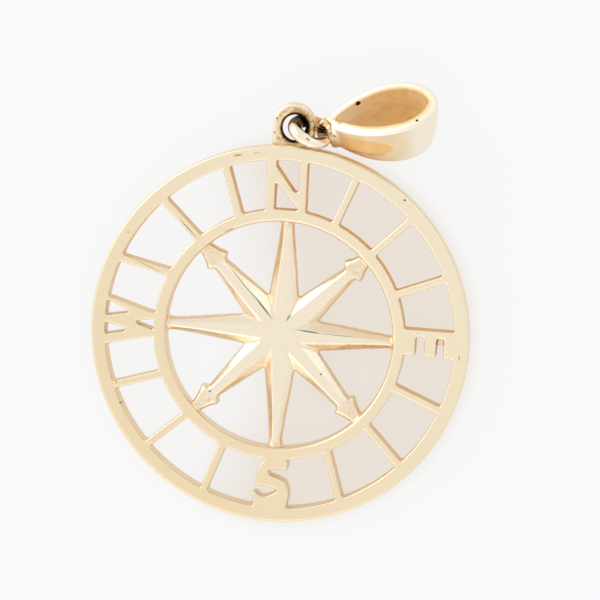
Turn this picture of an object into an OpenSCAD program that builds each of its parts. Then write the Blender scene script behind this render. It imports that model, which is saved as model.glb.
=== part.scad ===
// Compass pendant lying on its back: a pierced disc with a raised rose and a
// hanging loop, a jump ring through the loop, and a tapered bail on the ring.
// Origin: centre of the disc's back. North is +Y and the letters face +Z.

/* [Disc] */
// Diameter over the outer band
disc_d = 25; // [23:0.1:28]
// Thickness from back to front face
disc_t = 1.2; // [1:0.05:1.5]
// Width of the outer band
band_w = 0.94; // [0.7:0.02:1.2]
// Outside diameter of the inner ring
ring_d = 16.6; // [15.5:0.1:17.2]
// Width of the inner ring
ring_w = 0.8; // [0.6:0.02:1]
// Width of each bar between the inner ring and the outer band
bar_w = 0.48; // [0.36:0.02:0.7]

/* [Letters] */
// Width of the letter N, which the other letters follow
letter_w = 2.66; // [2.2:0.02:3]
// Thickness of the thin floor left in the upper gap of the letter E
web_t = 0.5; // [0.3:0.05:0.8]

/* [Rose] */
// Radius of the notches between neighbouring rays
notch_r = 2.65; // [2.3:0.05:3]
// Width of a ray where it meets the inner ring
ray_tip_w = 0.68; // [0.5:0.02:1]
// Width of the flat crown along a ray
crown_w = 0.66; // [0.5:0.02:0.8]
// Height of the crown above the back
crown_h = 1; // [0.85:0.05:1.1]
// Height of a ray's edge above the back
edge_h = 0.55; // [0.4:0.05:0.7]
// Width over the barbs of an arrowhead
barb_w = 1.66; // [1.4:0.02:1.9]
// Length of an arrowhead from its barbs to the inner ring
head_l = 1.05; // [0.8:0.05:1.3]

/* [Hanging loop] */
// Width over the loop
loop_w = 2.76; // [2.6:0.02:3]
// Diameter of the loop's hole
loop_hole_d = 1.7; // [1.6:0.02:1.8]
// Thickness of the loop
loop_t = 0.86; // [0.8:0.02:0.9]
// Gap between the disc's rim and the loop's hole
loop_root = 0.32; // [0.25:0.01:0.4]
// How far the loop is cast to the east of the north line
loop_off = 0.22; // [0:0.02:0.3]

/* [Jump ring] */
// Outside diameter of the jump ring
link_d = 3.1; // [3:0.02:3.2]
// Diameter of its wire
link_wire = 0.78; // [0.7:0.02:0.8]

/* [Bail] */
// Length of the bail from tip to top, along its longer rim
bail_l = 7.6; // [7:0.1:8]
// Height of its teardrop profile
bail_h = 4.08; // [3.6:0.02:4.4]
// Width of the band at its widest
bail_w = 4; // [3.4:0.1:4.4]
// Width of the band at the tip
bail_tip_w = 1.84; // [1.6:0.02:2.2]
// Thickness of the band
bail_t = 0.57; // [0.45:0.01:0.7]
// Share by which the band's shorter rim is smaller than the longer one
bail_shrink = 0.12; // [0:0.01:0.15]
// Share by which the middle of the band bulges out past its rims
bail_dome = 0.02; // [0:0.01:0.05]
// Gap between the jump ring's wire and the eye's oval hole
eye_play = 0.1; // [0.08:0.01:0.11]
// Length of the eye's oval hole, across the bail
eye_hole_l = 1.72; // [1.6:0.02:1.76]
// Thickness of metal round the hole
eye_rim = 0.22; // [0.2:0.01:0.24]
// Depth of the eye along its hole
eye_l = 0.5; // [0.4:0.02:0.54]

/* [Lying pose] */
// Lean of the disc, whose north edge the jump ring holds up
rest_tilt = 3.5; // [3.5:0.1:4.5]
// Heading of the jump ring from the loop to the bail
link_turn = -17; // [-20:1:-14]
// Rise of the jump ring from the loop to the bail
link_rise = 1; // [-2:1:4]
// Lean of the jump ring about its own length
link_lean = -64; // [-68:1:-60]
// Heading of the bail
bail_turn = 8.5; // [7:0.5:10]
// Rise of the bail from its eye to its top
bail_rise = 2; // [2:0.5:4]
// Roll of the bail about its own length
bail_roll = -38.5; // [-40:0.5:-37]

/* [Hidden] */
$fn = 96;

disc_r = disc_d / 2;
band_r = disc_r - band_w;
ring_r = ring_d / 2;
rose_r = ring_r - ring_w;
// How far a bar, letter or ray reaches into the metal that it joins.
bed = 0.15;
letter_bed = ring_r - bed;
letter_gap = band_r - ring_r;

// How far each bar was cast from its exact place, in degrees.
// Columns: its step of 22.5 degrees from north, error at the band, error at the ring.
BARS = [
    [1, 0.5, 1], [2, 0, 0], [3, -0.5, -1], [5, -1.5, -2], [6, -1.5, -2.5], [7, -1, -3.5],
    [9, 0, 1], [10, 1.5, 0.5], [11, 1.5, 0], [13, -0.5, 3.5], [14, 1, 2], [15, 2, 1]
];

// A point at a radius and a clockwise angle from north.
function polar(r, a) = [r * sin(a), r * cos(a)];

// Letter outlines and holes. Columns: across as a share of half the letter's width,
// up as a share of the gap between the inner ring and the outer band.
N_BLOCK = [[-1, -0.05], [1, -0.05], [0.98, 1.05], [-1, 1.05]];
N_HOLES = [
    [[-0.54, 1], [-0.56, 0.87], [0.38, 0.37], [0.59, 0.37], [0.59, 1]],
    [[-0.56, 0.52], [-0.45, 0.52], [0.6, 0.05], [0.59, 0], [-0.56, 0]]
];
E_BLOCK = [[-0.82, -0.05], [0.46, -0.05], [0.46, 0.5], [0.52, 0.8], [0.55, 1.05], [-0.82, 1.05]];
E_HOLES = [
    [[-0.46, 0.67], [-0.4, 0.64], [0.7, 0.64], [0.7, 0.79], [-0.4, 0.79], [-0.46, 0.76]],
    [[-0.48, 0.25], [-0.42, 0.22], [0.7, 0.22], [0.7, 0.42], [-0.42, 0.4], [-0.48, 0.37]]
];
E_WEB = [[-0.48, 0.62], [-0.06, 0.62], [-0.06, 0.81], [-0.48, 0.81]];
S_BLOCK = [
    [-0.72, -0.05], [-0.84, 0.08], [-0.82, 0.2], [-0.7, 0.3], [-0.78, 0.48], [-0.92, 0.6],
    [-0.96, 0.74], [-0.88, 0.92], [-0.76, 1.05], [0.8, 1.05], [0.84, 0.9], [0.86, 0.74],
    [0.76, 0.55], [0.7, 0.35], [0.6, 0.18], [0.36, 0.02], [0.36, -0.05]
];
S_HOLES = [
    [[1, 0.56], [1, 0.64], [0.72, 0.7], [0.5, 0.77], [0.28, 0.78], [0, 0.74], [-0.36, 0.65],
        [-0.34, 0.6], [0.1, 0.57], [0.5, 0.56]],
    [[-1.1, 0.2], [-0.4, 0.2], [0.08, 0.21], [0.15, 0.26], [0.09, 0.32], [-0.36, 0.38],
        [-0.68, 0.44], [-1.1, 0.56]]
];
W_BLOCK = [
    [-0.56, -0.05], [0.64, -0.05], [0.68, 0.08], [0.94, 0.43], [1.3, 0.92], [1.36, 1.05],
    [-1.12, 1.05], [-1.05, 0.88], [-0.8, 0.52], [-0.64, 0.22]
];
W_HOLES = [
    [[-0.58, 1], [-0.36, 0.58], [-0.2, 0.58], [0, 1]],
    [[0.36, 1], [0.57, 0.54], [0.7, 0.55], [1.08, 0.9], [1.1, 1]],
    [[-0.2, 0], [0.06, 0.36], [0.2, 0.36], [0.34, 0]]
];

// A table of shares as millimetres across and up from the disc's centre.
function letter_points(shares) =
    [for (p = shares) [p[0] * letter_w / 2, ring_r + p[1] * letter_gap]];

module letter(block, holes) {
    difference() {
        polygon(letter_points(block));
        for (hole = holes)
            polygon(letter_points(hole));
    }
}

module bar(step, band_slip, ring_slip) {
    out = polar(band_r + bed, step * 22.5 + band_slip);
    in = polar(letter_bed, step * 22.5 + ring_slip);
    run = out - in;
    side = [run[1], -run[0]] / norm(run) * bar_w / 2;
    polygon([in - side, out - side, out + side, in + side]);
}

module annulus(outer, inner) {
    difference() {
        circle(outer);
        circle(inner);
    }
}

// The pierced plate: band, inner ring, bars and letters, cut right through.
module plate() {
    linear_extrude(disc_t) {
        annulus(disc_r, band_r);
        annulus(ring_r, rose_r);
        for (b = BARS)
            bar(b[0], b[1], b[2]);
        letter(N_BLOCK, N_HOLES);
        rotate(-90) letter(E_BLOCK, E_HOLES);
        rotate(180) letter(S_BLOCK, S_HOLES);
        rotate(90) letter(W_BLOCK, W_HOLES);
    }
    rotate(-90)
        linear_extrude(web_t)
            polygon(letter_points(E_WEB));
}

// Half the width of a ray at the notches, and its width lost per millimetre outwards.
notch_along = notch_r * cos(22.5);
notch_half = notch_r * sin(22.5);
ray_fall = (notch_half - ray_tip_w / 2) / (rose_r - notch_along);
function ray_half(r) = notch_half - (r - notch_along) * ray_fall;

// Rows across a ray, outwards. Columns: distance out, half width, drop of the crown.
// An arrow's shaft ends a little inside its barbs. A plain ray narrows to its neck and
// flares out again where it joins the ring.
barb_r = rose_r - head_l;
shaft_r = barb_r - 0.35;
shoulder_r = barb_r - 1;
neck_r = rose_r - 0.5;
neck_flare = 0.08;
CARDINAL_ROWS = [
    [shoulder_r, ray_half(shoulder_r), 0.02],
    [neck_r, ray_half(neck_r), 0.05],
    [rose_r + bed, ray_half(neck_r) + neck_flare, 0.1]
];
ARROW_ROWS = [
    [shaft_r, ray_half(shaft_r), 0.05],
    [barb_r, barb_w / 2, 0.15],
    [rose_r + bed, ray_tip_w / 2, 0.2]
];

// The six points of a row, from the left foot over the crown to the right foot.
function row_points(k, row) =
    let (crown_half = min(crown_w / 2, row[1] * 0.7), crown = crown_h - row[2])
    [for (p = [[-row[1], 0], [-row[1], edge_h], [-crown_half, crown],
        [crown_half, crown], [row[1], edge_h], [row[1], 0]])
        [p[0] * cos(45 * k) + row[0] * sin(45 * k), row[0] * cos(45 * k) - p[0] * sin(45 * k), p[1]]];

// The whole rose as one solid: eight rays round a flat middle, with a valley between each two.
module rose() {
    points = concat(
        [[0, 0, crown_h], [0, 0, 0]],
        [for (k = [0:7]) [each polar(crown_w / 2 / sin(22.5), 45 * k + 22.5), crown_h]],
        [for (k = [0:7]) [each polar(notch_r, 45 * k + 22.5), edge_h]],
        [for (k = [0:7]) [each polar(notch_r, 45 * k + 22.5), 0]],
        [for (k = [0:7]) for (row = k % 2 == 0 ? CARDINAL_ROWS : ARROW_ROWS)
            each row_points(k, row)]
    );
    function joint(k) = 2 + (k + 8) % 8;
    function notch(k) = 10 + (k + 8) % 8;
    function foot(k) = 18 + (k + 8) % 8;
    function at(k, j, i) = 26 + k * 18 + j * 6 + i % 6;
    faces = [for (k = [0:7]) each concat(
        [
            [0, joint(k - 1), at(k, 0, 2)],
            [0, at(k, 0, 2), at(k, 0, 3)],
            [0, at(k, 0, 3), joint(k)],
            [joint(k - 1), notch(k - 1), at(k, 0, 1), at(k, 0, 2)],
            [joint(k), at(k, 0, 3), at(k, 0, 4), notch(k)],
            [at(k, 0, 1), notch(k - 1), foot(k - 1), at(k, 0, 0)],
            [notch(k), at(k, 0, 4), at(k, 0, 5), foot(k)],
            [1, foot(k), at(k, 0, 5), at(k, 0, 0), foot(k - 1)],
            [for (i = [5:-1:0]) at(k, 2, i)]
        ],
        [for (j = [0, 1]) for (i = [0:5])
            [at(k, j, i + 1), at(k, j, i), at(k, j + 1, i), at(k, j + 1, i + 1)]]
    )];
    polyhedron(points, faces, convexity = 6);
}

// The loop's face lies a step below the disc's. The middle of its round top lies north of
// the hole's, and the hole a little east of the loop's own middle.
loop_step = 0.15;
loop_y = disc_r + loop_root + loop_hole_d / 2;
loop_z = disc_t - loop_t - loop_step;
loop_crown_y = loop_y + 0.26;
loop_hole_off = 0.06;

// The loop stands on the rim at north, with straight sides and a round top.
module hanging_loop() {
    translate([loop_off, 0, loop_z])
        linear_extrude(loop_t)
            difference() {
                union() {
                    translate([0, loop_crown_y]) circle(d = loop_w);
                    translate([-loop_w / 2, disc_r - band_w / 2])
                        square([loop_w, loop_crown_y - disc_r + band_w / 2]);
                }
                translate([loop_hole_off, loop_y]) circle(d = loop_hole_d);
                circle(disc_r - band_w / 2);
            }
}

module compass_disc() {
    color("#e8d3a6")
        rotate([rest_tilt, 0, 0]) {
            plate();
            rose();
            hanging_loop();
        }
}

// A direction from a heading and a rise, both in degrees.
function heading(turn, rise) = [cos(rise) * cos(turn), cos(rise) * sin(turn), sin(rise)];

// A point of the disc, moved with its lean.
function on_disc(x, y, z) =
    [x, y * cos(rest_tilt) - z * sin(rest_tilt), y * sin(rest_tilt) + z * cos(rest_tilt)];

// The jump ring hugs the loop's east side. Tuck is how far its centre lies inside that side.
link_r = (link_d - link_wire) / 2;
link_tuck = 0.23;
link_sag = 0.14;
link_lift = 0.03;
link_at = on_disc(loop_off + loop_w / 2 - link_tuck, loop_y - link_sag, loop_z + loop_t / 2 + link_lift);
hook_at = link_at + link_r * heading(link_turn, link_rise);

module jump_ring() {
    color("#e6cfa4")
        translate(link_at)
            rotate([0, -link_rise, link_turn])
                rotate([link_lean, 0, 0])
                    rotate_extrude()
                        translate([link_r, 0])
                            circle(d = link_wire);
}

// Half the height of the teardrop at a share of its length from the tip.
tip_power = 0.78;
top_power = 0.54;
pear_peak = pow(tip_power, tip_power) * pow(top_power, top_power)
    / pow(tip_power + top_power, tip_power + top_power);
function pear(u) = pow(u, tip_power) * pow(1 - u, top_power) / pear_peak / 2;

// One loop of the band's surface: its plan size and how far it lies to one side.
// The side is a share of the half width, from 1 at the longer rim to -1.
PEAR_STEPS = 40;
WIDEST_AT = 0.7;
function band_half(s) = (bail_tip_w + (bail_w - bail_tip_w) * min(1, s / bail_l / WIDEST_AT)) / 2;
function band_loop(start, length, height, side, grow) = [
    for (i = [0:PEAR_STEPS - 1])
        let (u = (1 - cos(360 * i / PEAR_STEPS)) / 2, up = i < PEAR_STEPS / 2 ? 1 : -1)
        let (s = start + u * length * grow)
        [s, up * pear(u) * height * grow, side * band_half(s)]
];

function side_grow(side) = 1 - bail_shrink * (1 - side) / 2 + bail_dome * (1 - side * side);

// The inner face starts past the tip and is shorter than the outer face, as shares of the
// band's thickness, so that the wall is about as thick at both ends as at the sides.
INNER_START = 1.45;
INNER_LOSS = 2.05;

// The band, as loops over its outer face and back along its inner face.
module bail_band() {
    outer = [for (side = [1:-0.5:-1])
        band_loop(0, bail_l, bail_h, side, side_grow(side))];
    inner = [for (side = [-1:1:1])
        band_loop(bail_t * INNER_START, bail_l - bail_t * INNER_LOSS, bail_h - bail_t * 2,
            side, side_grow(side))];
    loops = concat(outer, inner);
    count = len(loops);
    points = [for (l = loops) for (p = l) p];
    function at(row, i) = (row % count) * PEAR_STEPS + i % PEAR_STEPS;
    faces = [for (row = [0:count - 1]) for (i = [0:PEAR_STEPS - 1]) each [
        [at(row, i), at(row + 1, i), at(row, i + 1)],
        [at(row, i + 1), at(row + 1, i), at(row + 1, i + 1)]
    ]];
    polyhedron(points, faces, convexity = 6);
}

// Where the eye's middle and the band's tip lie from the middle of the wire in the eye:
// along the bail, along the eye's hole, and across the bail.
eye_from_wire = [-0.02, 0.27, 0.16];
tip_from_wire = [-0.09, 0.34, 0.43];
eye_hole_w = link_wire + eye_play * 2;
eye_collar = 0.45;

// An oval bar along the eye's hole, from one height to another.
module oval_bar(grow, low, high) {
    width = eye_hole_w + grow * 2;
    rotate([90, 0, 0])
        translate([0, 0, -high])
            linear_extrude(high - low) {
                for (end = [-1, 1])
                    translate([0, end * (eye_hole_l - eye_hole_w) / 2]) circle(d = width);
                square([width, eye_hole_l - eye_hole_w], center = true);
            }
}

// The eye is a rim round an oval hole, deeper on the side where it joins the band.
module eye() {
    oval_bar(eye_rim, -eye_l / 2, eye_l / 2);
    intersection() {
        oval_bar(eye_rim, -eye_l / 2 - eye_collar, eye_l / 2);
        translate([0, -bail_h, -bail_w]) cube([bail_w, bail_h * 2, bail_w * 2]);
    }
}

module bail() {
    color("#e9cf9c")
        translate(hook_at)
            rotate([0, -bail_rise, bail_turn])
                rotate([bail_roll, 0, 0])
                    difference() {
                        union() {
                            translate(eye_from_wire) eye();
                            translate(tip_from_wire) bail_band();
                        }
                        translate(eye_from_wire) oval_bar(0, -bail_h, bail_h);
                    }
}

compass_disc();
jump_ring();
bail();
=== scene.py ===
import math
import bpy
import numpy as np
from mathutils import Matrix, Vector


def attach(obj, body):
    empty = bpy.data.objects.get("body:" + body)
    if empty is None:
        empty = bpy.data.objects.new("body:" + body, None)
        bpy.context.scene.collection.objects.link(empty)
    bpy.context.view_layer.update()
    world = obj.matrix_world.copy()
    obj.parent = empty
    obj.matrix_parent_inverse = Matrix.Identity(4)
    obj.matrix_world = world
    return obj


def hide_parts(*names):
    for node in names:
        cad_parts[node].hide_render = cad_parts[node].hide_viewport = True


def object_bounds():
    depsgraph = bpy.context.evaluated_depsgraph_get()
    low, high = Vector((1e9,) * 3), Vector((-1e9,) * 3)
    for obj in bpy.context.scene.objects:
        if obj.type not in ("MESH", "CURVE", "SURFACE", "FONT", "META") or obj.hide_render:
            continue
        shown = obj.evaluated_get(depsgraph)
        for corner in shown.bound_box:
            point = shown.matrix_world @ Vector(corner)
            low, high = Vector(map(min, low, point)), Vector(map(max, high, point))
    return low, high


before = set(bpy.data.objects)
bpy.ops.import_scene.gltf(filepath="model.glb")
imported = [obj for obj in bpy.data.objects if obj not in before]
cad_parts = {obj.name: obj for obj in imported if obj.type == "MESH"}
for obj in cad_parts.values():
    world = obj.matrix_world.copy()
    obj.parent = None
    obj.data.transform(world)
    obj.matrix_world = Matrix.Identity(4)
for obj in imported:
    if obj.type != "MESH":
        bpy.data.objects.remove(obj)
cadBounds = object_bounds()
print("frame loaded:", ", ".join(sorted(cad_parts)))

mm = 0.001
# A distance in mm that is longer than any in the pendant
farAway = 1e3

# How the pendant lies: the jump ring holds up the disc's north edge. Angles in degrees.
pose = {"discLean": 3.5, "ringTurn": -17, "ringRise": 1, "ringLean": -64,
        "bailTurn": 8.5, "bailRise": 2, "bailRoll": -38.5}


def turnMatrix(aboutX, aboutY, aboutZ):
    # Turns about x, then y, then z, in degrees
    out = np.eye(3)
    for axis, angle in enumerate((aboutX, aboutY, aboutZ)):
        c, s = math.cos(math.radians(angle)), math.sin(math.radians(angle))
        turn = np.eye(3)
        i, j = (axis + 1) % 3, (axis + 2) % 3
        turn[i, i] = turn[j, j] = c
        turn[i, j], turn[j, i] = -s, s
        out = turn @ out
    return out


discTurn = turnMatrix(pose["discLean"], 0, 0)
ringTurn = turnMatrix(0, -pose["ringRise"], pose["ringTurn"]) @ turnMatrix(pose["ringLean"], 0, 0)
bailTurn = turnMatrix(0, -pose["bailRise"], pose["bailTurn"]) @ turnMatrix(pose["bailRoll"], 0, 0)

# Shapes as distance fields: a field is the distance to the surface in mm, negative inside the metal


def softMin(a, b, width):
    # The lesser of two fields, with their crease filled over the given width
    h = np.maximum(width - np.abs(a - b), 0) / width
    return np.minimum(a, b) - h * h * width / 4


def softMax(a, b, width):
    return -softMin(-a, -b, width)


def rounded(a, b, edge):
    # Where two fields both hold, with their common edge rounded to a radius
    qa, qb = a + edge, b + edge
    return np.hypot(np.maximum(qa, 0), np.maximum(qb, 0)) + np.minimum(np.maximum(qa, qb), 0) - edge


def slab(outline, z, low, high, topEdge, footEdge):
    # An outline raised from low to high, its top and foot edges rounded
    middle, half = (low + high) / 2, (high - low) / 2
    edge = np.where(z > middle, topEdge, footEdge)
    return rounded(outline, np.abs(z - middle) - half, edge)


def outlineField(x, y, corners):
    # Distance to the nearest edge of a closed outline, negative where a line to the side crosses it an odd
    # number of times
    nearest, inside = np.full(x.shape, farAway), np.zeros(x.shape, bool)
    for (ax, ay), (bx, by) in zip(corners, corners[1:] + corners[:1]):
        ex, ey = bx - ax, by - ay
        t = np.clip(((x - ax) * ex + (y - ay) * ey) / (ex * ex + ey * ey), 0, 1)
        nearest = np.minimum(nearest, np.hypot(x - ax - t * ex, y - ay - t * ey))
        inside ^= ((ay > y) != (by > y)) & (x < ax + (y - ay) * ex / (ey or 1e-9))
    return np.where(inside, -nearest, nearest)


def smooth(low, high, value):
    # Goes from 0 at low to 1 at high with level ends
    t = np.clip((value - low) / (high - low), 0, 1)
    return t * t * (3 - 2 * t)


def ripple(x, y, z, size, seed):
    # Smooth unevenness from -1 to 1: sines of about the given length along nine fixed directions, averaged
    rng = np.random.default_rng(seed)
    total = 0
    for way, start in zip(rng.normal(size=(9, 3)), rng.uniform(0, 6.3, 9)):
        way = way / np.linalg.norm(way) * 6.3 / size * rng.uniform(0.7, 1.5)
        total = total + np.sin(way[0] * x + way[1] * y + way[2] * z + start)
    return total / 4.5


def castSurface(field, low, high, step, slides=3):
    # Meshes the zero surface of a field. Each grid cell that the surface crosses gets one vertex, at the mean
    # of the places where the cell's edges cross it, and each crossed edge joins the four cells round it with
    # a face. Vertices then slide along the field's slope until they lie on the surface.
    axes = [np.arange(low[i], high[i] + step, step) for i in range(3)]
    values = field(axes[0][:, None, None], axes[1][None, :, None], axes[2][None, None, :])
    values = np.where(np.abs(values) < 1e-9, 1e-9, values)
    solid = values < 0
    shape = np.array(solid.shape)
    count = np.zeros(shape - 1, np.int8)
    offsets = np.array([(i, j, k) for i in (0, 1) for j in (0, 1) for k in (0, 1)])
    for i, j, k in offsets:
        count += solid[i:shape[0] - 1 + i, j:shape[1] - 1 + j, k:shape[2] - 1 + k]
    cells = np.argwhere((count > 0) & (count < 8))
    number = np.full(shape - 1, -1, np.int64)
    number[tuple(cells.T)] = np.arange(len(cells))
    total, hits = np.zeros((len(cells), 3)), np.zeros(len(cells))
    for a in offsets:
        for axis in range(3):
            if a[axis]:
                continue
            b = a.copy()
            b[axis] = 1
            va, vb = values[tuple((cells + a).T)], values[tuple((cells + b).T)]
            crossed = (va < 0) != (vb < 0)
            t = np.where(crossed, va / np.where(crossed, va - vb, 1), 0)
            total += (a + t[:, None] * (b - a)) * crossed[:, None]
            hits += crossed
    points = np.array(low) + (cells + total / hits[:, None]) * step
    faces = []
    for axis in range(3):
        u, v = (axis + 1) % 3, (axis + 2) % 3
        first = [slice(None)] * 3
        second = [slice(None)] * 3
        first[axis], second[axis] = slice(None, -1), slice(1, None)
        crossed = solid[tuple(first)] != solid[tuple(second)]
        at = np.argwhere(crossed)
        at = at[(at[:, u] > 0) & (at[:, v] > 0) & (at[:, u] < shape[u] - 1) & (at[:, v] < shape[v] - 1)]
        ring = []
        for du, dv in ((-1, -1), (0, -1), (0, 0), (-1, 0)):
            cell = at.copy()
            cell[:, u] += du
            cell[:, v] += dv
            ring.append(number[tuple(cell.T)])
        ring = np.stack(ring, 1)
        flip = ~solid[tuple(at.T)]
        ring[flip] = ring[flip][:, ::-1]
        faces.append(ring)
    faces = np.concatenate(faces)

    def slope(p, d=0.004):
        out = np.empty_like(p)
        for axis in range(3):
            shift = np.zeros(3)
            shift[axis] = d
            out[:, axis] = (field(*(p + shift).T) - field(*(p - shift).T)) / (2 * d)
        return out

    for _ in range(slides):
        normals = slope(points)
        size = np.maximum((normals ** 2).sum(1), 0.2)
        move = -field(*points.T)[:, None] * normals / size[:, None]
        points = points + np.clip(move, -step / 2, step / 2)
    normals = slope(points)
    normals /= np.maximum(np.linalg.norm(normals, axis=1), 1e-6)[:, None]
    return points, faces, normals


def makePiece(name, points, faces, attributes=None):
    # Puts arrays into a smooth mesh. Points in metres, attributes one number a point.
    mesh = bpy.data.meshes.new(name)
    mesh.vertices.add(len(points))
    mesh.vertices.foreach_set("co", np.asarray(points, np.float32).ravel())
    mesh.loops.add(faces.size)
    mesh.loops.foreach_set("vertex_index", faces.astype(np.int32).ravel())
    mesh.polygons.add(len(faces))
    mesh.polygons.foreach_set("loop_start", np.arange(0, faces.size, faces.shape[1], dtype=np.int32))
    mesh.polygons.foreach_set("use_smooth", np.ones(len(faces), bool))
    mesh.update(calc_edges=True)
    mesh.validate()
    for key, numbers in (attributes or {}).items():
        layer = mesh.attributes.new(key, "FLOAT", "POINT")
        layer.data.foreach_set("value", np.asarray(numbers, np.float32))
    piece = bpy.data.objects.new(name, mesh)
    bpy.context.scene.collection.objects.link(piece)
    return piece


# Compass disc, sizes in mm, turns and steps in degrees. An edge is a radius, a fill the width over which a
# crease is filled, and a spread how far from its circle an edge keeps its own radius.
disc = {
    "radius": 12.5, "thickness": 1.2, "bandWidth": 0.94, "ringRadius": 8.3, "ringWidth": 0.8,
    "barWidth": 0.48, "barStep": 22.5, "barReach": 0.1, "letterWidth": 2.66, "webHeight": 0.5,
    "plainEdge": 0.09, "rimEdge": 0.2, "ringEdge": 0.3, "footEdge": 0.08, "webEdge": 0.05,
    "rimSpread": 0.4, "ringSpread": 0.35, "wornEdge": 0.12, "wornTurn": 225, "wornSpread": 0.3,
    "cornerFill": 0.16, "letterFill": 0.06, "roseFill": 0.12, "loopFill": 0.1,
    "roseAt": (0.1, 0.1), "roseRipple": 0.012, "rippleSize": 1.3, "roseEdge": 0.06, "roseReach": 0.3,
    "roofShare": 0.8, "rayFill": 0.2, "crownRound": 0.05, "ridgeRound": 0.03,
    "valleyFill": 0.26, "valleyDepth": 0.065,
    "loopWidth": 2.76, "loopHole": 1.7, "loopAcross": 0.22, "loopLow": 0.19, "loopHigh": 1.05,
    "loopCrown": 0.26, "holeAcross": 0.06, "holeGap": 0.32, "loopFootEdge": 0.2,
    "loopEdge": 0.24, "holeEdge": 0.4, "holeShoulder": 0.22, "shoulderTurn": 112,
    "meshLow": (-12.7, -12.7, -0.15), "meshHigh": (12.7, 15.55, 1.35), "meshStep": 0.108,
}
bandRadius = disc["radius"] - disc["bandWidth"]
roseRadius = disc["ringRadius"] - disc["ringWidth"]
holeAt = (disc["loopAcross"] + disc["holeAcross"],
          disc["radius"] + disc["holeGap"] + disc["loopHole"] / 2)

# Bars in steps from north, with how far each was cast off its place at the band and at the ring, in degrees
bars = [(1, 0.5, 1), (2, 0, 0), (3, -0.5, -1), (5, -1.5, -2), (6, -1.5, -2.5), (7, -1, -3.5),
        (9, 0, 1), (10, 1.5, 0.5), (11, 1.5, 0), (13, -0.5, 3.5), (14, 1, 2), (15, 2, 1)]

# Letters by their turn from north, as outlines and gaps. Columns: across as a share of half the letter's
# width, up as a share of the way from the inner ring to the band.
letters = {
    0: ([[-1, -0.05], [1, -0.05], [0.98, 1.05], [-1, 1.05]], [
        [[-0.54, 1], [-0.56, 0.87], [0.38, 0.37], [0.59, 0.37], [0.59, 1]],
        [[-0.56, 0.52], [-0.45, 0.52], [0.6, 0.05], [0.59, 0], [-0.56, 0]]]),
    90: ([[-0.82, -0.05], [0.46, -0.05], [0.46, 0.5], [0.52, 0.8], [0.55, 1.05], [-0.82, 1.05]], [
        [[-0.46, 0.67], [-0.4, 0.64], [0.7, 0.64], [0.7, 0.79], [-0.4, 0.79], [-0.46, 0.76]],
        [[-0.48, 0.25], [-0.42, 0.22], [0.7, 0.22], [0.7, 0.42], [-0.42, 0.4], [-0.48, 0.37]]]),
    180: ([[-0.72, -0.05], [-0.84, 0.08], [-0.82, 0.2], [-0.7, 0.3], [-0.78, 0.48], [-0.92, 0.6],
           [-0.96, 0.74], [-0.88, 0.92], [-0.76, 1.05], [0.8, 1.05], [0.84, 0.9], [0.86, 0.74],
           [0.76, 0.55], [0.7, 0.35], [0.6, 0.18], [0.36, 0.02], [0.36, -0.05]], [
        [[1, 0.56], [1, 0.64], [0.72, 0.7], [0.5, 0.77], [0.28, 0.78], [0, 0.74], [-0.36, 0.65],
         [-0.34, 0.6], [0.1, 0.57], [0.5, 0.56]],
        [[-1.1, 0.2], [-0.4, 0.2], [0.08, 0.21], [0.15, 0.26], [0.09, 0.32], [-0.36, 0.38],
         [-0.68, 0.44], [-1.1, 0.56]]]),
    270: ([[-0.56, -0.05], [0.64, -0.05], [0.68, 0.08], [0.94, 0.43], [1.3, 0.92], [1.36, 1.05],
           [-1.12, 1.05], [-1.05, 0.88], [-0.8, 0.52], [-0.64, 0.22]], [
        [[-0.58, 1], [-0.36, 0.58], [-0.2, 0.58], [0, 1]],
        [[0.36, 1], [0.57, 0.54], [0.7, 0.55], [1.08, 0.9], [1.1, 1]],
        [[-0.2, 0], [0.06, 0.36], [0.2, 0.36], [0.34, 0]]]),
}
letterWeb = [[-0.48, 0.62], [-0.06, 0.62], [-0.06, 0.81], [-0.48, 0.81]]

# Rays as rows outwards, in mm. Columns: distance out, half width, crown height, edge height, half width of
# the flat crown.
plainRay = [(0, 1.3, 1.02, 0.5, 0.5), (1.3, 1.15, 1.02, 0.5, 0.44), (2.45, 0.97, 1.02, 0.5, 0.37),
            (4, 0.8, 1.0, 0.52, 0.28), (5.4, 0.61, 0.97, 0.56, 0.18), (6.7, 0.45, 0.94, 0.62, 0.1),
            (7.15, 0.41, 0.92, 0.64, 0.08), (7.8, 0.5, 0.9, 0.64, 0.08)]
arrowRay = [(0, 1.3, 1.02, 0.5, 0.42), (2.45, 1.0, 1.02, 0.5, 0.36), (4.2, 0.75, 1.0, 0.58, 0.32),
            (5.95, 0.51, 0.96, 0.68, 0.24), (6.08, 0.54, 0.93, 0.68, 0.26), (6.28, 0.85, 0.97, 0.74, 0.5),
            (6.46, 0.79, 0.95, 0.74, 0.45), (6.8, 0.61, 0.92, 0.74, 0.36), (7.2, 0.48, 0.89, 0.74, 0.27),
            (7.8, 0.32, 0.85, 0.74, 0.18)]

# How far each ray was cast to the right of its heading, from north clockwise, in mm
raySlips = [0.02, 0.03, 0.07, 0, 0, 0.04, 0.08, 0]


def around(x, y, turn):
    # Places seen along a heading, clockwise from north: across to the right, and outwards
    c, s = math.cos(math.radians(turn)), math.sin(math.radians(turn))
    return x * c - y * s, x * s + y * c


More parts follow.
